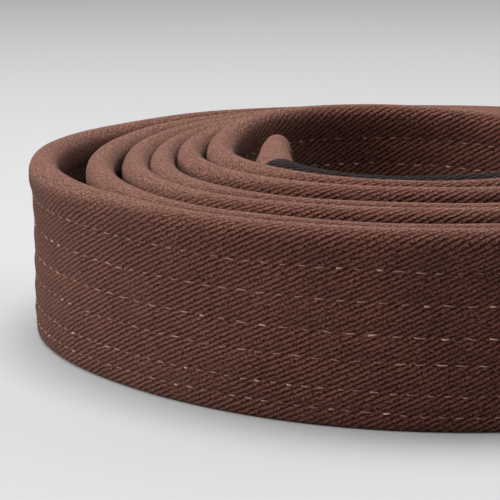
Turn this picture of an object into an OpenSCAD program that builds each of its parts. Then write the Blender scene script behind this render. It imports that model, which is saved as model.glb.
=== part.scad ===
// Martial arts belt, rolled up into a coil that stands on its lower edge.
// The coil's axis is +Z. The origin is under the middle of its outline, on the
// surface the coil stands on.
// The winding starts at the inner end, in the middle of the coil, and runs
// anticlockwise seen from above, out to the outer end.
// Millimetres throughout.

/* [Belt] */
// Width of the belt, which is the height of the coil
belt_w = 40; // [36:1:50]
// Thickness of the sewn belt, through cover and core
belt_t = 4.4; // [3.8:0.1:4.4]
// Thickness of one layer of the twill cover
cover_t = 0.8; // [0.6:0.05:0.9]
// Height of the hem, where the cover's raw edges are turned in along the lower edge
hem_h = 1.6; // [1.3:0.1:2.4]

/* [Core] */
// Clearance between neighbouring layers
layer_gap = 0.03; // [0.02:0.01:0.06]

/* [Stitching] */
// Thickness of the thread where it lies on the cloth
thread_t = 0.2; // [0.1:0.05:0.2]
// Width of the band that one row of stitches covers
thread_w = 0.6; // [0.4:0.1:0.8]

/* [Rank bar] */
// Thickness of the black cloth sleeve
bar_t = 0.6; // [0.4:0.1:0.6]

/* [Hidden] */

// Distance of the belt's middle line from the winding's centre, one value every
// 45 degrees, one row per turn. Each row starts at the back left (135 degrees)
// and goes by left, front left, front, front right, right, back right, back.
TURNS = [
    [45.0, 33.6, 31.8, 29.8, 32.0, 40.6, 47.6, 53.0],
    [52.2, 46.2, 39.0, 36.0, 38.0, 46.4, 53.2, 58.2],
    [57.6, 53.7, 45.1, 41.3, 44.2, 53.2, 59.0, 63.4],
    [63.4, 59.3, 60.6, 58.0, 60.2, 64.4, 67.0, 68.8],
    [70.0, 65.4, 66.2, 63.5, 65.8, 70.2, 72.8, 74.2],
    [76.1, 73.4, 74.8, 76.8, 78.8, 80.8, 80.2, 79.8],
    [82.1, 86.5, 80.9, 82.2, 84.4, 86.2, 86.0, 86.0]];
STATIONS = [for (t = TURNS) for (r = t) r];

// The middle line is cut into straight runs, STEPS of them every 45 degrees
STEPS = 6;
first_step = 1;                       // inner end of the belt
last_step = 6 * 8 * STEPS + 38;       // outer end of the belt
bar_first = 8;                        // end of the rank bar nearest the inner end
bar_last = 31;                        // its other end
// The winding's own centre lies this far behind the middle of the coil's outline
coil_y = 1.8;
// How much straighter the first stretch is than the table's curve
tip_bow = 1.8;

half_t = belt_t / 2;
core_half = half_t - cover_t;
core_top = belt_w - cover_t;
ply_t = (2 * core_half - 4 * layer_gap) / 3;
bar_in = half_t + thread_t + layer_gap;
bar_out = bar_in + bar_t;
// Heights of the six rows of stitches above the lower edge
row_z = [for (f = [0.802, 0.642, 0.482, 0.345, 0.194, 0.0925]) f * belt_w];

brown = "#6b4136";
thread_brown = "#a5796a";
core_white = "#d9cfbe";
black = "#242426";
black_thread = "#3a3a3d";

// Smooth curve through the stations
function station(i) = STATIONS[max(0, min(len(STATIONS) - 1, i))];
function radius_at(u) =
    let (i = floor(u), f = u - i,
         a = station(i - 1), b = station(i), c = station(i + 1), d = station(i + 2))
    b + 0.5 * f * (c - a + f * (2 * a - 5 * b + 4 * c - d + f * (3 * (b - c) + d - a)))
    - (u > 0 && u < 2 ? tip_bow * sin(180 * u) * (1 - pow(u / 2, 3)) : 0);
function middle(k) =
    let (u = k / STEPS, a = 135 + 45 * u, r = radius_at(u))
    [r * cos(a), coil_y + r * sin(a)];
function unit(v) = v / norm(v);
// Outward direction at a corner of the middle line
function outward(k) =
    let (t = unit(unit(middle(k + 1) - middle(k)) + unit(middle(k) - middle(k - 1))))
    [t[1], -t[0]];
function edge_point(k, off) = middle(k) + off * outward(k);

// A band along the winding: from step k0 to k1, between two distances
// from the middle line (positive is outward), from height z0 to z1
module band(k0, k1, off0, off1, z0, z1) {
    translate([0, 0, z0])
        linear_extrude(height = z1 - z0)
            polygon(concat([for (k = [k0:k1]) edge_point(k, off1)],
                           [for (k = [k1:-1:k0]) edge_point(k, off0)]));
}

// The space under a stretch of the winding, a quarter of a run longer at each end
// than from step k0 to k1, between heights z0 and z1
module space_under(k0, k1, off, z0, z1) {
    function before(o) = edge_point(k0, o) + 0.25 * (edge_point(k0 - 1, o) - edge_point(k0, o));
    function after(o) = edge_point(k1, o) + 0.25 * (edge_point(k1 + 1, o) - edge_point(k1, o));
    translate([0, 0, z0])
        linear_extrude(height = z1 - z0)
            polygon(concat([before(off)], [for (k = [k0:k1]) edge_point(k, off)], [after(off)],
                           [after(-off)], [for (k = [k1:-1:k0]) edge_point(k, -off)], [before(-off)]));
}

// A bar of thread that stands upright on one face of the belt, in the middle
// of the straight run after step k, or shifted along it by s
module upright_thread(k, off, s, z0, z1) {
    a = edge_point(k, off);
    b = edge_point(k + 1, off);
    d = unit(b - a);
    m = (a + b) / 2 + s * d;
    side = off > 0 ? 1 : -1;
    translate([m[0], m[1], z0])
        rotate([0, 0, atan2(d[1], d[0])])
            translate([-thread_w / 2, side > 0 ? -thread_t : 0, 0])
                cube([thread_w, thread_t, z1 - z0]);
}

// Twill cover: folded over along the top edge, raw edges turned in along the
// lower edge, both ends turned in, so it is closed all round the core
module cover() {
    color(brown)
    difference() {
        band(first_step, last_step, -half_t, half_t, 0, belt_w);
        band(first_step + 1, last_step - 1, -core_half, core_half, hem_h, core_top);
        // the sleeve squeezes the lower edge up by its own thickness
        space_under(bar_first, bar_last, half_t + 1, -1, bar_t + layer_gap);
    }
}

// One ply of the cotton core, i = 0 is the one nearest the coil's axis
module core_ply(i) {
    o = -core_half + layer_gap + i * (ply_t + layer_gap);
    color(core_white)
    band(first_step + 1, last_step - 1, o, o + ply_t,
         hem_h + layer_gap, core_top - layer_gap);
}

// One row of lockstitch: a thread on the outer face and one on the inner face
module stitch_row(i) {
    z = row_z[i];
    color(thread_brown)
    for (s = [-1, 1])
        band(first_step + 2, last_step - 1,
             s > 0 ? half_t : -half_t - thread_t,
             s > 0 ? half_t + thread_t : -half_t,
             z - thread_w / 2, z + thread_w / 2);
}

// Upright row of stitches that closes one turned-in end, on both faces
module end_stitch(k, s) {
    color(thread_brown)
    for (o = [-1, 1])
        upright_thread(k, o * (half_t + thread_t), s, 3, belt_w - 4);
}

// Black cloth sleeve sewn round the belt near its inner end
module rank_bar() {
    top = belt_w + layer_gap;
    color(black)
    union() {
        band(bar_first, bar_last, bar_in, bar_out, 0, top + bar_t);
        band(bar_first, bar_last, -bar_out, -bar_in, 0, top + bar_t);
        band(bar_first, bar_last, -bar_in, bar_in, 0, bar_t);
        band(bar_first, bar_last, -bar_in, bar_in, top, top + bar_t);
    }
}

// Upright row of stitches near one end of the sleeve, on both faces
module bar_stitch(k, s) {
    color(black_thread)
    for (o = [-1, 1])
        upright_thread(k, o * (bar_out + thread_t), s, 2, belt_w - 2);
}

cover();
core_ply(0);  // core_ply_inner
core_ply(1);  // core_ply_middle
core_ply(2);  // core_ply_outer
stitch_row(0);  // stitch_row_1
stitch_row(1);  // stitch_row_2
stitch_row(2);  // stitch_row_3
stitch_row(3);  // stitch_row_4
stitch_row(4);  // stitch_row_5
stitch_row(5);  // stitch_row_6
end_stitch(first_step, 0);  // inner_end_stitch
end_stitch(last_step - 1, 0);  // outer_end_stitch
rank_bar();
bar_stitch(bar_first, 0);  // rank_bar_stitch_tip_side
bar_stitch(bar_last - 1, 0);  // rank_bar_stitch_coil_side
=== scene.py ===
import bpy, math
import numpy as np
from mathutils import Vector, Matrix


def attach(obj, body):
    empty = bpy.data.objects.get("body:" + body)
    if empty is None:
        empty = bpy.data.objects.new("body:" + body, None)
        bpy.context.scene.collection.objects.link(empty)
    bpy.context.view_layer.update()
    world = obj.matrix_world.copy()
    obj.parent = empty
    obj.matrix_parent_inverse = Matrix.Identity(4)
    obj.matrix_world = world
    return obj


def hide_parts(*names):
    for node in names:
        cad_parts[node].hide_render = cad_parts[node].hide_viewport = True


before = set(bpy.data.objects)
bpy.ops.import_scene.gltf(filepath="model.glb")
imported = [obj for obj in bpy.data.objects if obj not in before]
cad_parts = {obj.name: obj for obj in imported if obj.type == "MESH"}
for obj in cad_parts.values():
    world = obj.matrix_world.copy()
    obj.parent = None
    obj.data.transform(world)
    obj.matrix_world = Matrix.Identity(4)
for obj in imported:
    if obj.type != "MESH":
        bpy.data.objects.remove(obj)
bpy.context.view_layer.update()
MM = 0.001
rng = np.random.default_rng(7)

# ---------------------------------------------------------------- the winding
# The same table as in part.scad: distance of the belt's middle line from the
# coil's axis every 45 degrees, in millimetres.
TURNS = [
    [45.0, 33.6, 31.8, 29.8, 32.0, 40.6, 47.6, 53.0],
    [52.2, 46.2, 39.0, 36.0, 38.0, 46.4, 53.2, 58.2],
    [57.6, 53.7, 45.1, 41.3, 44.2, 53.2, 59.0, 63.4],
    [63.4, 59.3, 60.6, 58.0, 60.2, 64.4, 67.0, 68.8],
    [70.0, 65.4, 66.2, 63.5, 65.8, 70.2, 72.8, 74.2],
    [76.1, 73.4, 74.8, 76.8, 78.8, 80.8, 80.2, 79.8],
    [82.1, 86.5, 80.9, 82.2, 84.4, 86.2, 86.0, 86.0]]
COIL_Y = 1.8                             # the outline's middle lies this far from the winding's own centre
# How much the upper edge of each stretch stands above the nominal width, at the same
# stations: the inner turns have slipped up, most of all at the back of the coil.
LIFTS = [
    [1.2, 0.4, 0.0, 0.0, 0.6, 0.9, 1.9, 3.5],
    [4.4, 1.6, 1.0, 0.8, 1.3, 1.3, 1.7, 2.5],
    [2.1, 1.0, 0.1, 0.4, 0.4, 0.7, 1.2, 1.75],
    [1.3, 0.6, 0.3, 0.2, 0.2, 0.4, 0.7, 1.1],
    [0.7, 0.4, 0.1, 0.35, 0.3, 0.2, 0.3, 0.4],
    [0.3, 0.1, -0.6, -0.3, -0.2, 0.0, 0.0, -0.2],
    [0.2, 0.5, -0.4, 0.0, 0.0, 0.0, 0.0, 0.0]]
TIP_BOW = 1.8                            # how much straighter the first stretch is than the table's curve
STEPS, FIRST, LAST, BAR0, BAR1 = 6, 1.0, 326.0, 8.0, 31.0
W, HALF = 40.0, 2.2
ROWS = [0.802 * W, 0.642 * W, 0.482 * W, 0.345 * W, 0.194 * W, 0.0925 * W]
PITCHES = [3.8, 4.1, 4.5, 4.0, 3.4, 3.5]     # stitch length of each row


def curve(table, k):
    """Smooth curve through a table's values, one value every STEPS steps."""
    t = np.array(table).ravel()
    u = np.asarray(k, float) / STEPS
    i = np.floor(u).astype(int)
    f = u - i
    a, b, c, d = (t[np.clip(i + j, 0, len(t) - 1)] for j in (-1, 0, 1, 2))
    return b + 0.5 * f * (c - a + f * (2 * a - 5 * b + 4 * c - d + f * (3 * (b - c) + d - a)))


def radius(k):
    u = np.clip(np.asarray(k, float) / STEPS, 0, 2)
    return curve(TURNS, k) - TIP_BOW * np.sin(np.pi * u) * (1 - (u / 2) ** 3)


def angle(k):
    return np.radians(135 + 45 * np.asarray(k, float) / STEPS)


def middle(k):
    r, a = radius(k), angle(k)
    return np.stack([r * np.cos(a), COIL_Y + r * np.sin(a)], -1)


def outward(k):
    e = 0.02
    t = middle(k + e) - middle(k - e)
    t /= np.linalg.norm(t, axis=-1, keepdims=True)
    return np.stack([t[..., 1], -t[..., 0]], -1)


KF = np.arange(FIRST, LAST + 1e-9, 0.05)
SF = np.concatenate([[0], np.cumsum(np.linalg.norm(np.diff(middle(KF), axis=0), axis=1))])
LENGTH = SF[-1]
k_at = lambda s: np.interp(s, SF, KF)
s_at = lambda k: np.interp(k, KF, SF)
S_BAR0, S_BAR1 = float(s_at(BAR0)), float(s_at(BAR1))


def smooth(x, lo, hi):
    t = np.clip((np.asarray(x, float) - lo) / (hi - lo), 0, 1)
    return t * t * (3 - 2 * t)


def waves(s, seed, scale, n=6):
    """Soft random wave along the belt, about -1 to 1, wavelengths round scale mm."""
    r = np.random.default_rng(seed)
    out = np.zeros_like(np.asarray(s, float))
    for j in range(n):
        out += np.sin(2 * np.pi * s / (scale * r.uniform(0.6, 1.8)) + r.uniform(0, 6.28)) * r.uniform(0.5, 1)
    return out / (n * 0.45)


def lift(k):
    return curve(LIFTS, k)


def raised(h, k):
    """Heights after the lift: up to 1 mm is the cloth standing taller, the rest is the belt off the floor."""
    up = lift(k)
    off = np.maximum(up - 1.0, 0)
    return off + h * (1 + (up - off) / W)


def pad_room(k):
    """Room for the soft upper edge to swell, outwards and inwards, in mm."""
    out = np.where(k + 48 <= LAST + 2, radius(np.minimum(k + 48, LAST)) - radius(k), 99.0)
    inn = np.where(k - 48 >= FIRST - 2, radius(k) - radius(np.maximum(k - 48, FIRST)), 99.0)
    inn = inn - 1.5 * smooth(k, BAR0 + 46, BAR0 + 47) * (1 - smooth(k, BAR1 + 49, BAR1 + 50))
    return out, inn


def swell(s):
    ss = np.arange(-30, LENGTH + 30, 1.0)
    out, inn = pad_room(k_at(ss))
    res = []
    for gap, top in ((out, 0.8), (inn, 1.0)):
        p = np.clip(gap / 2 - HALF - 0.13, 0.12, top)
        low = np.min([np.roll(p, j) for j in range(-8, 9, 2)], axis=0)
        g = np.exp(-0.5 * (np.arange(-15, 16) / 6.0) ** 2)
        p = np.convolve(np.pad(low, 15, mode="edge"), g / g.sum(), mode="valid")
        bar = smooth(ss, S_BAR0 - 8, S_BAR0 - 1) * (1 - smooth(ss, S_BAR1 + 1, S_BAR1 + 8))
        p = p * (1 - 0.55 * bar)
        # the loose inner end opens up towards the sleeve
        p = p + np.interp(ss, [3, 8, 16, 25, 30, S_BAR0, S_BAR0 + 8],
                          [0, 0.1, 0.6, 1.6, 1.7, 1.1, 0] if gap is out else [0, 0, 0.25, 0.7, 0.8, 0.7, 0])
        if gap is out:
            # the outermost turn puffs out most on its left side
            kk = k_at(ss)
            p = p + 0.12 * np.interp(np.degrees(angle(kk)) % 360, [130, 160, 200, 235], [0, 1, 1, 0]) * smooth(kk, LAST - 46, LAST - 40)
        res.append(np.interp(s, ss, p))
    return res


# ---------------------------------------------------------------- the section
def side_profile():
    """Height, rest half thickness, share of the swelling, for one face from the hem up."""
    pts = [(0.35, 1.62, 0.0), (1.0, 1.98, 0.0), (1.9, 2.08, 0.0)]
    rows = sorted(ROWS)
    for i, z in enumerate(rows):
        pin = {0: 1.98, 5: 2.06}.get(i, 2.02)
        sh = {5: 0.28, 4: 0.03}.get(i, 0.0)
        pts.append((z - 0.75, pin + 0.15, sh + (0.02 if i == 5 else 0)))
        pts.append((z, pin, sh))
        pts.append((z + 0.75, pin + 0.17, sh + (0.16 if i == 5 else 0)))
        if i < 5:
            mid = (z + rows[i + 1]) / 2
            pts.append((mid, 2.34, 0.14 if i == 4 else 0.03))
    pts += [(33.9, 2.3, 0.72), (34.9, 2.34, 0.9), (35.9, 2.34, 0.98), (36.8, 2.32, 1.0)]
    return np.array(pts)


PROF = side_profile()
CAP_H, CAP_R = 36.9, 3.1
CAP_A = np.radians(np.linspace(14, 166, 11))
V_TOP = CAP_H + 4.6                      # nominal distance round the section up to the fold's top


def section():
    """Per point: side (+1 out, -1 in, 0 middle), height, half thickness, swelling share, cap angle, v."""
    rows = []
    for n, h, v in ((0.30, 0.42, -0.45), (0.62, 0.06, 0.0), (1.15, 0.02, 0.2)):
        rows.append((1, h, n, 0.0, -1, v))
    for h, n, sw in PROF:
        rows.append((1, h, n, sw, -1, h))
    for a in CAP_A:
        rows.append((0, 0, 0, 1.0, a, CAP_H + (V_TOP - CAP_H) * (a / (math.pi / 2)) if a <= math.pi / 2
                     else V_TOP + (V_TOP - CAP_H) * ((a - math.pi / 2) / (math.pi / 2))))
    for h, n, sw in PROF[::-1]:
        rows.append((-1, h, n, sw, -1, 2 * V_TOP - h))
    for n, h, v in ((1.15, 0.02, -0.2), (0.62, 0.06, 0.0), (0.30, 0.42, 0.45)):
        rows.append((-1, h, n, 0.0, -1, 2 * V_TOP + v))
    rows.append((0, 0.62, 0.0, 0.0, -2, 2 * V_TOP + 0.75))
    return np.array(rows)


SEC = section()


def belt_points(s, grow=0.0, hem=True):
    """Points of the belt's skin at distances s along it: array (columns, section, 3) in mm.
    grow moves the skin outwards by that much (for the sleeve round it)."""
    s = np.asarray(s, float)
    k = k_at(np.clip(s, 0, LENGTH))
    mid, out = middle(k), outward(k)
    po, pi = swell(s)
    side, h0, n0, sw, cap, _ = SEC.T
    wob = 0.05 * waves(s, 11, 37)[:, None]
    puck = 1 + 0.05 * waves(s, 5, 9)[:, None]
    n = np.zeros((len(s), len(SEC)))
    h = np.zeros_like(n)
    outer, inner = side > 0, side < 0
    n[:, outer] = n0[outer] + po[:, None] * sw[outer] * puck
    n[:, inner] = -(n0[inner] + pi[:, None] * sw[inner] * puck)
    h[:] = h0
    c = cap > -0.5
    wo = (2.32 + po * puck[:, 0])[:, None]
    wi = (2.32 + pi * puck[:, 0])[:, None]
    # the inner end is slimmer at its very tip
    slim = (1 - 0.16 * np.exp(-(s / 7.0) ** 2))[:, None]
    wo, wi = wo * slim, wi * slim
    ca, sa = np.cos(cap[c]), np.sin(cap[c])
    n[:, c] = np.where(ca >= 0, wo * np.abs(ca) ** 0.92, -wi * np.abs(ca) ** 0.92)
    press = 0.55 * np.exp(-((s - S_BAR0 - 0.6) / 3.0) ** 2)
    h[:, c] = CAP_H + CAP_R * sa ** 0.95 + (0.12 * waves(s, 3, 60) - press)[:, None]
    # sewn-in sleeve squeezes the lower edge up
    bar = smooth(s, S_BAR0 - 5, S_BAR0 - 0.5) * (1 - smooth(s, S_BAR1 + 0.5, S_BAR1 + 5))
    h = (0.66 * bar)[:, None] + h * (1 - 0.66 * bar / W)[:, None]
    if np.any(grow):
        n = n + grow * np.sign(np.round(n, 3)) * np.where(c, np.abs(np.cos(cap)), 1.0)
        h = np.where(c, h + grow * np.sin(cap), h)
        low = (~c) & (h0 < 0.7)
        h = np.where(low, 0.68 - grow, h)
    # the turned-in ends are rounded
    for e in (s, LENGTH - s):
        t = np.clip(1 - e / 2.6, 0, 1)
        f = np.sqrt(np.clip(1 - t ** 2, 0.09, 1))
        n = n * f[:, None]
        q = np.clip(1 - e / 6.0, 0, 1)
        top = W - 4.6 * (1 - np.sqrt(np.clip(1 - q ** 2, 0, 1)))
        q2 = np.clip(1 - e / 3.0, 0, 1)
        low = 1.6 * (1 - np.sqrt(np.clip(1 - q2 ** 2, 0, 1)))
        h = low[:, None] + h * ((top - low) / W)[:, None]
    h = raised(h, k[:, None])
    # the coil's turns lean a little, and the cloth is never quite flat
    n = n + wob * (1 - np.clip(np.abs(h - 20) / 60, 0, 1))
    P = np.empty((len(s), len(SEC), 3))
    P[..., 0] = mid[:, None, 0] + n * out[:, None, 0]
    P[..., 1] = mid[:, None, 1] + n * out[:, None, 1]
    P[..., 2] = np.maximum(h, 0.0)
    return P


def make_mesh(name, verts, faces, uvs=None, uv_name="weave", mats=(), smooth_faces=True):
    me = bpy.data.meshes.new(name)
    me.from_pydata((np.asarray(verts) * MM).tolist(), [], faces)
    if uvs is not None:
        layer = me.uv_layers.new(name=uv_name)
        layer.data.foreach_set("uv", (np.asarray(uvs, float) * MM).ravel())
    me.polygons.foreach_set("use_smooth", [smooth_faces] * len(me.polygons))
    me.update()
    me.validate()
    ob = bpy.data.objects.new(name, me)
    bpy.context.scene.collection.objects.link(ob)
    for m in mats:
        me.materials.append(m)
    return ob


def grid(nc, ns, base=0, flip=False):
    """Quads of a closed tube of nc rings of ns points."""
    out = []
    for i in range(nc - 1):
        a, b = base + i * ns, base + (i + 1) * ns
        for j in range(ns):
            j2 = (j + 1) % ns
            q = (a + j, b + j, b + j2, a + j2)
            out.append(q[::-1] if flip else q)
    return out


def grid_uv(s, v, v_close, flip=False):
    out = []
    ns = len(v)
    v2 = np.append(v, v_close)
    for i in range(len(s) - 1):
        for j in range(ns):
            q = [(s[i], v2[j]), (s[i + 1], v2[j]), (s[i + 1], v2[j + 1]), (s[i], v2[j + 1])]
            out.extend(q[::-1] if flip else q)
    return out


def columns(s0, s1, step, ends=(0.0, 0.12, 0.35, 0.75, 1.3, 2.0, 3.0, 4.2, 5.6)):
    e = np.array(ends)
    n = max(2, int(round((s1 - s0 - 2 * e[-1]) / step)))
    return np.concatenate([s0 + e[:-1], np.linspace(s0 + e[-1], s1 - e[-1], n), (s1 - e[:-1])[::-1]])


def place(s, n, h):
    """One point per distance s: n mm outwards from the middle line, h mm up, with the coil's own lifts."""
    s, n, h = np.broadcast_arrays(*[np.asarray(x, float) for x in (s, n, h)])
    k = k_at(np.clip(s, 0, LENGTH))
    bar = smooth(s, S_BAR0 - 5, S_BAR0 - 0.5) * (1 - smooth(s, S_BAR1 + 0.5, S_BAR1 + 5))
    z = raised(0.66 * bar + h * (1 - 0.66 * bar / W), k)
    n = n + 0.05 * waves(s, 11, 37) * (1 - np.clip(np.abs(h - 20) / 60, 0, 1))
    m, o = middle(k), outward(k)
    # a point past an end goes straight on
    t = np.stack([-o[..., 1], o[..., 0]], -1)
    m = m + t * (s - np.clip(s, 0, LENGTH))[..., None]
    return np.concatenate([m + o * n[..., None], z[..., None]], -1)


def skin_n(s, h, side):
    """Distance of the cover's face from the middle line at height h."""
    po, pi = swell(s)
    p = np.where(np.asarray(side) > 0, po, pi)
    return np.interp(h, PROF[:, 0], PROF[:, 1]) + p * np.interp(h, PROF[:, 0], PROF[:, 2])


def cap_faces(base, ns, first):
    """Closes one end of the cover's tube, pairing the two faces."""
    nc = ns - 1
    out = [(base + 0, base + nc - 1, base + ns - 1)]
    for j in range(nc // 2):
        a, b, c, d = base + j, base + j + 1, base + nc - 2 - j, base + nc - 1 - j
        out.append((a, b, c, d) if b != c else (a, b, d))
    return out if first else [q[::-1] for q in out]


# ---------------------------------------------------------------- materials
class Nodes:
    """A short way to write shader nodes."""

    def __init__(self, name):
        self.mat = bpy.data.materials.new(name)
        self.mat.use_nodes = True
        self.t = self.mat.node_tree
        self.t.nodes.clear()
        self.out = self.t.nodes.new("ShaderNodeOutputMaterial")
        self.bsdf = self.t.nodes.new("ShaderNodeBsdfPrincipled")
        self.t.links.new(self.bsdf.outputs[0], self.out.inputs[0])

    def put(self, socket, value):
        if isinstance(value, bpy.types.NodeSocket):
            self.t.links.new(value, socket)
        elif isinstance(value, (tuple, list)):
            socket.default_value = (*value, 1.0)[:len(socket.default_value)]
        else:
            socket.default_value = value

    def m(self, op, a, b=0.0, c=0.0, clamp=False):
        n = self.t.nodes.new("ShaderNodeMath")
        n.operation, n.use_clamp = op, clamp
        for i, x in enumerate((a, b, c)):
            self.put(n.inputs[i], x)
        return n.outputs[0]

    def uv(self, name):
        n = self.t.nodes.new("ShaderNodeUVMap")
        n.uv_map = name
        s = self.t.nodes.new("ShaderNodeSeparateXYZ")
        self.t.links.new(n.outputs[0], s.inputs[0])
        return self.m("MULTIPLY", s.outputs[0], 1000.0), self.m("MULTIPLY", s.outputs[1], 1000.0)

    def xyz(self, x, y, z=0.0):
        n = self.t.nodes.new("ShaderNodeCombineXYZ")
        for i, v in enumerate((x, y, z)):
            self.put(n.inputs[i], v)
        return n.outputs[0]

    def noise(self, vec, scale, detail=2.0, rough=0.5):
        n = self.t.nodes.new("ShaderNodeTexNoise")
        self.put(n.inputs["Vector"], vec)
        self.put(n.inputs["Scale"], scale)
        self.put(n.inputs["Detail"], detail)
        self.put(n.inputs["Roughness"], rough)
        return n.outputs[0]

    def voronoi(self, vec, scale, feature="F1"):
        n = self.t.nodes.new("ShaderNodeTexVoronoi")
        n.feature = feature
        self.put(n.inputs["Vector"], vec)
        self.put(n.inputs["Scale"], scale)
        return n.outputs["Distance"], n.outputs["Color"]

    def white(self, v):
        n = self.t.nodes.new("ShaderNodeTexWhiteNoise")
        n.noise_dimensions = "1D"
        self.put(n.inputs["W"], v)
        return n.outputs["Value"]

    def mapped(self, v, a, b, c=0.0, d=1.0, kind="SMOOTHSTEP"):
        n = self.t.nodes.new("ShaderNodeMapRange")
        n.interpolation_type = kind
        for i, x in enumerate((v, a, b, c, d)):
            self.put(n.inputs[i], x)
        return n.outputs[0]

    def mix(self, f, a, b, kind="MIX"):
        n = self.t.nodes.new("ShaderNodeMix")
        n.data_type, n.blend_type = "RGBA", kind
        self.put(n.inputs["Factor"], f)
        self.put(n.inputs[6], a)
        self.put(n.inputs[7], b)
        return n.outputs[2]

    def ramp(self, v, stops):
        n = self.t.nodes.new("ShaderNodeValToRGB")
        while len(n.color_ramp.elements) < len(stops):
            n.color_ramp.elements.new(0.5)
        for e, (p, c) in zip(n.color_ramp.elements, stops):
            e.position, e.color = p, (*c, 1.0)
        self.put(n.inputs[0], v)
        return n.outputs[0]

    def bump(self, h, distance, strength=1.0):
        n = self.t.nodes.new("ShaderNodeBump")
        self.put(n.inputs["Strength"], strength)
        self.put(n.inputs["Distance"], distance)
        self.put(n.inputs["Height"], h)
        return n.outputs[0]

    def finish(self, color, normal, rough, sheen=0.0, sheen_rough=0.5, tint=(1, 1, 1), spec=0.2):
        b = self.bsdf.inputs
        self.put(b["Base Color"], color)
        self.put(b["Roughness"], rough)
        self.put(b["Normal"], normal)
        b["Sheen Weight"].default_value = sheen
        b["Sheen Roughness"].default_value = sheen_rough
        b["Sheen Tint"].default_value = (*tint, 1)
        b["Specular IOR Level"].default_value = spec
        return self.mat


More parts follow.
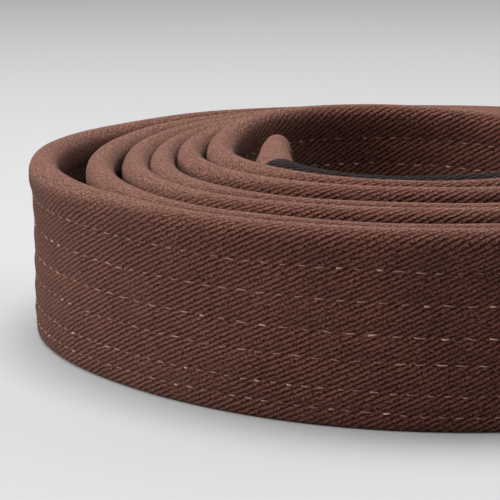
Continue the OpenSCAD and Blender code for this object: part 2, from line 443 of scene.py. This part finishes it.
def twill(name, dark, mid, light, nap_and_highlight, outer=(0.98, 27.0), inner=(1.12, 29.5), fold=None, rows=(), fuzz=1.0,
          sheen=0.12, depth=0.0003, lint=1.0, tint=(1.0, 0.74, 0.62), lit_nap_attr=None):
    """Woven twill: slanting ribs of short floats, with nap over the fold and puckers along the seams. The nap's lighter
    colour on the fold's top is also a painted highlight, and the rib grooves are painted dark as painted shade.
    """
    N = Nodes(name)
    u, v = N.uv("weave")
    vec = N.xyz(u, v)
    slow = N.noise(vec, 0.09, 2)
    fine = N.noise(vec, 0.75, 2)
    rag = N.noise(vec, 1.5, 2, 0.65)
    fibre = N.noise(vec, 2.7, 3, 0.75)
    clump = N.noise(vec, 1.3, 2, 0.6)
    # how much nap hides the weave and lightens it: on the fold, where the lighter nap is real fuzz and a painted
    # highlight, and in worn patches
    worn_and_lit_nap = N.mapped(N.noise(vec, 0.06, 3, 0.6), 0.45, 0.75, 0.0, 0.4)
    if fold is not None:
        d = N.m("ABSOLUTE", N.m("SUBTRACT", v, fold))
        d = N.m("ADD", d, N.m("MULTIPLY", N.m("SUBTRACT", clump, 0.5), 2.4))
        d = N.m("ADD", d, N.m("MULTIPLY", N.m("SUBTRACT", slow, 0.5), 2.0))
        # the per-point attribute adds lighter nap on the coil's lit side as a painted highlight, and takes nap away on
        # the shaded side as a painted shade
        if lit_nap_attr:
            n = N.t.nodes.new("ShaderNodeAttribute")
            n.attribute_name, n.attribute_type = lit_nap_attr, "GEOMETRY"
            more = N.m("MAXIMUM", n.outputs["Fac"], 0.0)
            less = N.m("MAXIMUM", N.m("MULTIPLY", n.outputs["Fac"], -1.0), 0.0)
            d = N.m("MULTIPLY", d, N.m("ADD", N.m("MULTIPLY", less, 1.7), 1.0))
            d = N.m("SUBTRACT", d, N.m("MULTIPLY", more, 3.6))
            worn_and_lit_nap = N.m("MAXIMUM", worn_and_lit_nap, N.mapped(more, 0.62, 0.98, 0.0, 0.55))
        crest = N.mapped(d, 0.6, 3.9, 1.0, 0.0)
        top = N.mapped(d, 0.0, 2.7, 1.0, 0.0)
        nap_and_highlight_f = N.m("MAXIMUM", N.m("MULTIPLY", crest, 0.82 * fuzz), worn_and_lit_nap)
    else:
        crest = top = None
        nap_and_highlight_f = worn_and_lit_nap
    # rib pitch in mm and slant in degrees, on the outer face and on the inner one
    inside = N.m("GREATER_THAN", v, fold if fold is not None else 1e6)
    (po, to), (pi, ti) = outer, inner
    cv = [math.cos(math.radians(t)) / p for p, t in ((po, to), (pi, ti))]
    cu = [math.sin(math.radians(t)) / p for p, t in ((po, to), (pi, ti))]
    kv = N.m("ADD", N.m("MULTIPLY", inside, cv[1] - cv[0]), cv[0])
    ku = N.m("ADD", N.m("MULTIPLY", inside, cu[1] - cu[0]), cu[0])
    across = N.m("SUBTRACT", N.m("MULTIPLY", v, kv), N.m("MULTIPLY", u, ku))
    across = N.m("ADD", across, N.m("MULTIPLY", slow, 0.7))
    across = N.m("ADD", across, N.m("MULTIPLY", fine, 0.45))
    across = N.m("ADD", across, N.m("MULTIPLY", rag, 0.42))
    across = N.m("ADD", across, N.m("MULTIPLY", N.m("MULTIPLY", N.m("SUBTRACT", fibre, 0.5), nap_and_highlight_f), 2.6))
    sa, ca = math.sin(math.radians(to)), math.cos(math.radians(to))
    along = N.m("DIVIDE", N.m("ADD", N.m("MULTIPLY", u, ca), N.m("MULTIPLY", v, sa)), 0.85)
    fa, ia = N.m("FRACT", across), N.m("FLOOR", across)
    x = N.m("ABSOLUTE", N.m("SUBTRACT", N.m("MULTIPLY", fa, 2.0), 1.0))
    # the rib grooves are painted dark and the ridges and the floats' middles light: painted shade and highlight on top
    # of the bump, besides the weave's own tone
    ridge = N.mapped(x, 0.32, 0.98, 1.0, 0.0)
    rnd = N.white(ia)
    ph = N.m("ADD", N.m("ADD", along, N.m("MULTIPLY", fa, 1.1)), N.m("MULTIPLY", rnd, 5.0))
    ph = N.m("ADD", ph, N.m("MULTIPLY", fine, 2.2))
    bead = N.m("ADD", N.m("MULTIPLY", N.m("COSINE", N.m("MULTIPLY", ph, 2 * math.pi)), 0.5), 0.5)
    body = N.m("MULTIPLY", ridge, N.m("ADD", N.m("MULTIPLY", bead, 0.3), 0.7))
    keep = N.m("SUBTRACT", 1.0, nap_and_highlight_f)
    grit = N.m("SUBTRACT", fibre, 0.5)
    tone = N.m("MULTIPLY", body, N.m("ADD", N.m("MULTIPLY", keep, 0.82), 0.10))
    tone = N.m("ADD", tone, N.m("MULTIPLY", grit, N.m("ADD", N.m("MULTIPLY", nap_and_highlight_f, 1.6), 2.9)))
    tone = N.m("ADD", tone, N.m("MULTIPLY", N.m("SUBTRACT", rag, 0.5), 1.9))
    tone = N.m("ADD", tone, N.m("ADD", N.m("MULTIPLY", nap_and_highlight_f, 0.45), 0.04), clamp=True)
    col = N.ramp(tone, [(0.0, dark), (0.45, mid), (0.95, light)])
    shade = N.mapped(slow, 0.3, 0.7, 0.88, 1.12, "LINEAR")
    col = N.mix(1.0, col, N.xyz(shade, shade, shade), "MULTIPLY")
    # the fold's top takes the lighter nap colour: real fuzz and a painted highlight on the top of each turn
    if top is not None:
        g = N.mapped(N.m("ADD", N.m("MULTIPLY", grit, 3.2), N.m("MULTIPLY", N.m("SUBTRACT", rag, 0.5), 2.4)), -0.36, 0.36, 0.3, 1.62, "LINEAR")
        g = N.m("MULTIPLY", g, N.mapped(N.noise(vec, 0.35, 2, 0.5), 0.3, 0.7, 0.84, 1.16, "LINEAR"))
        g = N.m("MULTIPLY", g, N.m("ADD", N.m("MULTIPLY", body, 0.3), 0.85))
        nap_and_highlight_col = N.mix(1.0, nap_and_highlight, N.xyz(g, g, g), "MULTIPLY")
        col = N.mix(N.m("MULTIPLY", top, 0.8 * min(1.0, fuzz)), col, nap_and_highlight_col)
    # lint and stray fibres
    ld, lc = N.voronoi(N.xyz(N.m("MULTIPLY", u, 0.6), v), 0.75)
    speck = N.m("MULTIPLY", N.mapped(ld, 0.06, 0.17, 1.0, 0.0), N.m("GREATER_THAN", N.m("ADD", lc, 0.0), 0.55))
    col = N.mix(N.m("MULTIPLY", speck, 0.55 * lint), col, nap_and_highlight)
    height = N.m("MULTIPLY", body, N.m("ADD", N.m("MULTIPLY", keep, 0.9), 0.1))
    height = N.m("ADD", height, N.m("MULTIPLY", fibre, N.m("ADD", N.m("MULTIPLY", nap_and_highlight_f, 0.5), 0.35)))
    height = N.m("ADD", height, N.m("MULTIPLY", N.m("MULTIPLY", clump, nap_and_highlight_f), 0.9))
    # puckers: the cloth dips where each stitch pulls it down
    for z, pitch_s, phase in rows:
        dz = N.m("ABSOLUTE", N.m("SUBTRACT", v, z))
        line = N.mapped(dz, 0.1, 1.1, 1.0, 0.0)
        q = N.m("COSINE", N.m("MULTIPLY", N.m("SUBTRACT", u, phase), 2 * math.pi / pitch_s))
        dip = N.m("MULTIPLY", line, N.m("ADD", N.m("MULTIPLY", q, -0.45), 0.65))
        height = N.m("SUBTRACT", height, N.m("MULTIPLY", dip, 0.8))
    nrm = N.bump(height, depth)
    rough = N.mapped(fibre, 0.3, 0.7, 0.86, 0.97, "LINEAR")
    return N.finish(col, nrm, rough, sheen=sheen, sheen_rough=0.45, tint=tint, spec=0.1)


def thread(name, dark, light, sheen=0.3):
    """Spun sewing thread: two plies twisted round each other."""
    N = Nodes(name)
    n = N.t.nodes.new("ShaderNodeAttribute")
    n.attribute_name, n.attribute_type = "tone", "GEOMETRY"
    u, v = N.uv("thread")
    ph = N.m("ADD", N.m("MULTIPLY", u, 2 * math.pi / 0.42), N.m("MULTIPLY", v, 2 * math.pi * 2))
    ply = N.m("ADD", N.m("MULTIPLY", N.m("SINE", ph), 0.5), 0.5)
    hair = N.noise(N.xyz(u, v, n.outputs["Fac"]), 7.0, 3, 0.6)
    f = N.m("ADD", N.m("MULTIPLY", ply, 0.45), N.m("MULTIPLY", hair, 0.35))
    f = N.m("ADD", f, N.m("MULTIPLY", N.m("SUBTRACT", n.outputs["Fac"], 0.5), 0.55), clamp=True)
    # the grooves between the two plies are painted darker: painted shade, on top of the bump
    col = N.mix(f, dark, light)
    nrm = N.bump(N.m("ADD", ply, N.m("MULTIPLY", hair, 0.5)), 0.00005)
    return N.finish(col, nrm, N.mapped(hair, 0.3, 0.7, 0.6, 0.8, "LINEAR"), sheen=sheen, sheen_rough=0.4, tint=(1.0, 0.8, 0.7), spec=0.12)


def canvas(name, dark, light):
    """Plain weave of undyed cotton, for the core."""
    N = Nodes(name)
    u, v = N.uv("weave")
    a = N.m("SINE", N.m("MULTIPLY", u, 2 * math.pi / 1.1))
    b = N.m("SINE", N.m("MULTIPLY", v, 2 * math.pi / 1.1))
    w = N.m("ADD", N.m("MULTIPLY", N.m("MULTIPLY", a, b), 0.5), 0.5)
    f = N.noise(N.xyz(u, v), 3.0, 3, 0.6)
    col = N.mix(N.m("ADD", N.m("MULTIPLY", w, 0.5), N.m("MULTIPLY", f, 0.5)), dark, light)
    return N.finish(col, N.bump(N.m("ADD", w, f), 0.0001), N.mapped(f, 0.3, 0.7, 0.85, 0.95, "LINEAR"), sheen=0.1)


PHASE = [float(rng.uniform(0, q)) for q in PITCHES]
seams = [(z, q, f) for z, q, f in zip(ROWS, PITCHES, PHASE)] + \
        [(2 * V_TOP - z, q, f + q / 2) for z, q, f in zip(ROWS, PITCHES, PHASE)]

BROWN = twill("brown_twill", (0.0145, 0.0035, 0.0021), (0.064, 0.0190, 0.0123), (0.175, 0.0705, 0.0500),
              (0.160, 0.0735, 0.0540), fold=V_TOP, rows=seams, lit_nap_attr="lit_nap_attr")
BLACK = twill("black_twill", (0.0009, 0.0006, 0.0005), (0.0037, 0.0024, 0.0022), (0.034, 0.023, 0.021),
              (0.026, 0.018, 0.017), outer=(0.95, 20), inner=(0.95, 20), fold=V_TOP, fuzz=0.0, sheen=0.015,
              lint=0.5, tint=(1.0, 0.8, 0.72))
THREAD = thread("brown_thread", (0.11, 0.050, 0.036), (0.60, 0.37, 0.28), sheen=0.05)
BLACKTHREAD = thread("black_thread", (0.005, 0.005, 0.005), (0.04, 0.038, 0.038), sheen=0.1)
CANVAS = canvas("core_cotton", (0.45, 0.40, 0.32), (0.78, 0.72, 0.62))


# ---------------------------------------------------------------- cover
cs = columns(0.0, LENGTH, 2.0)
P = belt_points(cs)
ns = len(SEC)
verts = P.reshape(-1, 3)
v_nom = SEC[:, 5]
faces = grid(len(cs), ns)
uvs = grid_uv(cs, v_nom, 2 * V_TOP + 1.05)
first_cap = cap_faces(0, ns, True)
last_cap = cap_faces((len(cs) - 1) * ns, ns, False)
for q in first_cap:
    uvs += [(-abs(verts[i][2] - 20) * 0.02 - (0.6 if v_nom[i % ns] > V_TOP else 0), min(v_nom[i % ns], 2 * V_TOP - v_nom[i % ns])) for i in q]
for q in last_cap:
    uvs += [(LENGTH + (0.6 if v_nom[i % ns] > V_TOP else 0), min(v_nom[i % ns], 2 * V_TOP - v_nom[i % ns])) for i in q]
faces += first_cap + last_cap
# the inner face of the cloth, round the core
ins = columns(5.2, LENGTH - 5.2, 4.0, ends=(0.0,))
ring = [(-1.46, 1.62), (-1.46, 10.0), (-1.46, 20.0), (-1.46, 30.0), (-1.46, 37.6), (-0.8, 38.9), (0.0, 39.2), (0.8, 38.9),
        (1.46, 37.6), (1.46, 30.0), (1.46, 20.0), (1.46, 10.0), (1.46, 1.62)]
ring = np.array(ring)
inner = np.stack([place(ins, n, h) for n, h in ring], 1).reshape(-1, 3)
base = len(verts)
nr = len(ring)
faces += grid(len(ins), nr, base)
uvs += grid_uv(ins, ring[:, 1], ring[0, 1])
faces += [tuple(base + j for j in range(nr)), tuple(base + (len(ins) - 1) * nr + j for j in range(nr))[::-1]]
uvs += [(ins[0], ring[j, 1]) for j in range(nr)] + [(ins[-1], ring[j, 1]) for j in range(nr)][::-1]
cover = make_mesh("belt_cover", np.concatenate([verts, inner]), faces, uvs, mats=[BROWN])
# lighter nap on the folded edge round the coil's left side is a painted highlight where the light falls, and less nap
# on its right side is a painted shade; the inner end gets the lighter nap too
th = np.degrees(angle(k_at(cs))) % 360
left = np.interp(th, [0, 120, 160, 200, 225, 250, 360], [0, 0.15, 0.95, 0.9, 0.4, 0, 0])
left_in = np.interp(th, [0, 120, 160, 200, 230, 360], [0, 0.2, 0.75, 0.7, 0, 0])
last = smooth(k_at(cs), LAST - 50, LAST - 44)
end = 1 - smooth(cs, S_BAR0, S_BAR0 + 8)
lit_nap_out = np.where(end > 0, 0.9 * end, left - (1 - left) * (0.2 - 0.14 * last))
lit_nap_in = np.where(end > 0, 0.9 * end, left_in - (1 - left_in) * 0.3)
side_w = np.where(SEC[:, 4] > -0.5, 0.5 + 0.5 * np.cos(SEC[:, 4]), np.where(SEC[:, 0] > 0, 1.0, 0.0))
lit_nap = lit_nap_out[:, None] * side_w + lit_nap_in[:, None] * (1 - side_w)
at = cover.data.attributes.new("lit_nap_attr", "FLOAT", "POINT")
at.data.foreach_set("value", np.concatenate([lit_nap.ravel(), np.zeros(len(inner))]))
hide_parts("cover")
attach(cover, "root")

# ---------------------------------------------------------------- core plies
ps = columns(6.2, LENGTH - 6.6, 4.0, ends=(0.0,))
for name, lo, hi in (("inner", -1.38, -0.48), ("middle", -0.45, 0.45), ("outer", 0.48, 1.38)):
    r = np.array([(lo, 1.75), (hi, 1.75), (hi, 14.0), (hi, 27.0), (hi, 37.4), (lo, 37.4), (lo, 27.0), (lo, 14.0)])
    if name == "middle":
        r[4:6, 1] = 38.6
    pv = np.stack([place(ps, n, h) for n, h in r], 1).reshape(-1, 3)
    pf = grid(len(ps), len(r)) + [tuple(range(len(r))), tuple((len(ps) - 1) * len(r) + j for j in range(len(r)))[::-1]]
    pu = grid_uv(ps, np.cumsum([0, 0.9, 12.25, 13, 10.4, 0.9, 10.4, 13]), 73.0)
    pu += [(0, h) for _, h in r] + [(0, h) for _, h in r][::-1]
    o = make_mesh("core_" + name, pv, pf, pu, mats=[CANVAS])
    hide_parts("core_ply_" + name)
    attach(o, "root")


# ---------------------------------------------------------------- stitches
def stitches(name, centres, half_len, across=False, rad=0.2, mat=None, node=None, lift_n=0.0, seed=1):
    """centres: (s, h, side). Each stitch is a short thread that dives into the cloth at both ends."""
    r = np.random.default_rng(seed)
    c = np.array(centres, float)
    m = len(c)
    t = np.array([-1.16, -1.0, -0.62, 0.0, 0.62, 1.0, 1.16])
    dn = np.array([-0.50, -0.20, 0.09, 0.15, 0.09, -0.20, -0.50])
    rr = np.array([0.0, 0.72, 0.95, 1.0, 0.95, 0.72, 0.0]) * rad
    L = half_len * r.uniform(0.72, 1.22, m)
    tilt = r.normal(0, 0.08, m)
    bow = r.normal(0, 0.06, m)
    fat = r.uniform(0.8, 1.15, m)
    sink = np.clip(r.normal(0.03, 0.05, m), -0.03, 0.16)
    tone = np.clip(r.normal(0.42, 0.2, m), 0, 1)
    knot = r.random(m) < 0.12          # a loop of the thread from the other side shows
    tone[knot], fat[knot], sink[knot] = 1.0, 1.35, -0.05
    L[knot] *= 0.62
    V, F, U, T = [], [], [], []
    a = np.linspace(0, 2 * np.pi, 7)[:-1]
    side = c[:, 2]
    base_n = skin_n(c[:, 0], c[:, 1], side) + lift_n - sink
    for j in range(7):
        ds, dh = t[j] * L, t[j] * L * tilt + bow * (1 - t[j] ** 2)
        s = c[:, 0] + (dh if across else ds)
        h = c[:, 1] + (ds if across else dh)
        n = base_n + dn[j]
        if rr[j] == 0:
            V.append(place(s, n * side, h)[:, None])
        else:
            ring_pts = []
            for q in a:
                off_n, off_t = np.sin(q) * rr[j] * fat, np.cos(q) * rr[j] * fat
                ring_pts.append(place(s + (off_t if across else 0), (n + off_n) * side, h + (0 if across else off_t)))
            V.append(np.stack(ring_pts, 1))
    pts = np.concatenate(V, 1)                       # (m, 1 + 5*6 + 1, 3)
    per = pts.shape[1]
    local, luv = [], []
    rs = [1 + 6 * j for j in range(5)]
    for q in range(6):
        q2 = (q + 1) % 6
        local.append((0, rs[0] + q2, rs[0] + q)); luv.append([(t[0], q / 6), (t[1], (q + 1) / 6), (t[1], q / 6)])
        for j in range(4):
            local.append((rs[j] + q, rs[j] + q2, rs[j + 1] + q2, rs[j + 1] + q))
            luv.append([(t[j + 1], q / 6), (t[j + 1], (q + 1) / 6), (t[j + 2], (q + 1) / 6), (t[j + 2], q / 6)])
        local.append((rs[4] + q, rs[4] + q2, per - 1)); luv.append([(t[5], q / 6), (t[5], (q + 1) / 6), (t[6], q / 6)])
    flat_uv = np.array([p for f in luv for p in f])
    faces, uv = [], []
    for i in range(m):
        b = i * per
        flip = (side[i] < 0) != across
        faces.extend([tuple(b + x for x in (f[::-1] if flip else f)) for f in local])
        for f in luv:
            g = f[::-1] if flip else f
            uv.extend([(x * L[i] + 3 * i, y) for x, y in g])
    ob = make_mesh(name, pts.reshape(-1, 3), faces, uv, uv_name="thread", mats=[mat])
    at = ob.data.attributes.new("tone", "FLOAT", "POINT")
    at.data.foreach_set("value", np.repeat(tone, per))
    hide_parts(node)
    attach(ob, "root")
    return ob


for i, z in enumerate(ROWS):
    cen, q = [], PITCHES[i]
    for side in (1, -1):
        ph = PHASE[i] + (0 if side > 0 else q / 2)
        s = np.arange(ph % q, LENGTH, q)
        s = s[(s > 8.0) & (s < LENGTH - 9.5)]
        jit = rng.normal(0, 0.14, len(s))
        dz = 0.16 * waves(s, 40 + i, 90) + rng.normal(0, 0.05, len(s))
        if side > 0:
            # the rows sag a little at the front of the outermost turn
            kk = k_at(s)
            dz = dz - 0.45 * np.exp(-((np.degrees(angle(kk)) % 360 - 276) / 11) ** 2) * smooth(kk, LAST - 46, LAST - 40)
        cen += [(a + b, z + c, side) for a, b, c in zip(s, jit, dz)]
    stitches(f"stitches_row_{i + 1}", cen, 0.27 * q, mat=THREAD, rad=0.145, node=f"stitch_row_{i + 1}", seed=100 + i)

for name, node, s_c, z0, z1, mat, slot, up in (
        ("stitches_inner_end", "inner_end_stitch", 3.6, 5.0, 34.5, THREAD, "brown_thread", 0.0),
        ("stitches_outer_end", "outer_end_stitch", LENGTH - 5.6, 4.5, 35.5, THREAD, "brown_thread", 0.0),
        ("stitches_bar_tip_side", "rank_bar_stitch_tip_side", S_BAR0 + 2.4, 3.0, 36.0, BLACKTHREAD, "black_thread", 0.6),
        ("stitches_bar_coil_side", "rank_bar_stitch_coil_side", S_BAR1 - 2.4, 3.0, 36.0, BLACKTHREAD, "black_thread", 0.6)):
    hs = np.arange(z0, z1, 3.3)
    cen = [(s_c + rng.normal(0, 0.05), h, side) for side in (1, -1) for h in hs]
    stitches(name, cen, 1.2, across=True, mat=mat, node=node, lift_n=up, seed=int(s_c))

# ---------------------------------------------------------------- rank bar
bs = columns(S_BAR0, S_BAR1, 1.2, ends=(0.0, 0.08, 0.22, 0.45, 0.8, 1.3))
e = np.minimum(bs - S_BAR0, S_BAR1 - bs)
grow = 0.34 + 0.28 * np.sqrt(np.clip(1 - (1 - np.clip(e / 0.5, 0, 1)) ** 2, 0, 1)) + 0.03 * waves(bs, 21, 14)
# its ends are folded under, so they stand a little thicker
grow = grow + 0.16 * np.exp(-((bs - S_BAR0 - 1.6) / 1.9) ** 4) + 0.08 * np.exp(-((S_BAR1 - 1.6 - bs) / 1.9) ** 4)
skin = belt_points(bs, grow=grow[:, None])
lining = belt_points(bs, grow=np.full((len(bs), 1), 0.07))
bv = np.concatenate([skin.reshape(-1, 3), lining.reshape(-1, 3)])
nb = len(bs)
bf = grid(nb, ns) + grid(nb, ns, nb * ns, flip=True)
bu = grid_uv(bs, v_nom, 2 * V_TOP + 1.05) + grid_uv(bs, v_nom, 2 * V_TOP + 1.05, flip=True)
for c0, rev in ((0, False), (nb - 1, True)):
    for j in range(ns):
        j2 = (j + 1) % ns
        q = (c0 * ns + j, c0 * ns + j2, nb * ns + c0 * ns + j2, nb * ns + c0 * ns + j)
        w = [(bs[c0], v_nom[j]), (bs[c0], v_nom[j] + 1), (bs[c0] - 0.5, v_nom[j] + 1), (bs[c0] - 0.5, v_nom[j])]
        bf.append(q[::-1] if rev else q)
        bu += w[::-1] if rev else w
bar = make_mesh("rank_bar_sleeve", bv, bf, bu, mats=[BLACK])
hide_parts("rank_bar")
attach(bar, "root")

# ---------------------------------------------------------------- stage, light, camera
fl = bpy.data.meshes.new("floor")
fl.from_pydata([(-6, -6, 0), (6, -6, 0), (6, 6, 0), (-6, 6, 0)], [], [(0, 1, 2, 3)])
floor = bpy.data.objects.new("floor", fl)
bpy.context.scene.collection.objects.link(floor)
N = Nodes("floor")
N.bsdf.inputs["Base Color"].default_value = (0.38, 0.38, 0.38, 1)
N.bsdf.inputs["Roughness"].default_value = 0.9
fl.materials.append(N.mat)


def area(name, loc, target, size, power, color=(1, 1, 1)):
    l = bpy.data.lights.new(name, "AREA")
    l.shape, l.size, l.size_y = "RECTANGLE", size[0], size[1]
    l.energy, l.color = power, color
    o = bpy.data.objects.new(name, l)
    o.location = loc
    o.rotation_euler = (Vector(target) - Vector(loc)).to_track_quat("-Z", "Y").to_euler()
    bpy.context.scene.collection.objects.link(o)


area("key", (-0.95, -0.32, 0.66), (0, 0, 0.02), (0.55, 0.55), 11.0)
area("top", (-0.10, 0.12, 0.95), (0, 0, 0.02), (0.7, 0.6), 13.0)
area("back", (0.72, 0.42, 0.62), (0, 0, 0.02), (0.6, 0.5), 3.4)
world = bpy.data.worlds.new("studio")
world.use_nodes = True
world.node_tree.nodes["Background"].inputs[0].default_value = (0.8, 0.82, 0.85, 1)
world.node_tree.nodes["Background"].inputs[1].default_value = 0.27
bpy.context.scene.world = world
bpy.context.scene.view_settings.view_transform = "Standard"

cam = bpy.data.cameras.new("camera")
cam.sensor_width, cam.lens = 36.0, 2200 / 500 * 36.0
cam.clip_start, cam.clip_end = 0.05, 20
co = bpy.data.objects.new("camera", cam)
pitch, yaw = math.radians(12.17), math.radians(4.2)
co.location = (-3.3 * MM, (COIL_Y - 493.6) * MM, 124.2 * MM)
look = Vector((-math.sin(yaw) * math.cos(pitch), math.cos(yaw) * math.cos(pitch), -math.sin(pitch)))
co.rotation_euler = look.to_track_quat("-Z", "Y").to_euler()
bpy.context.scene.collection.objects.link(co)
bpy.context.scene.camera = co
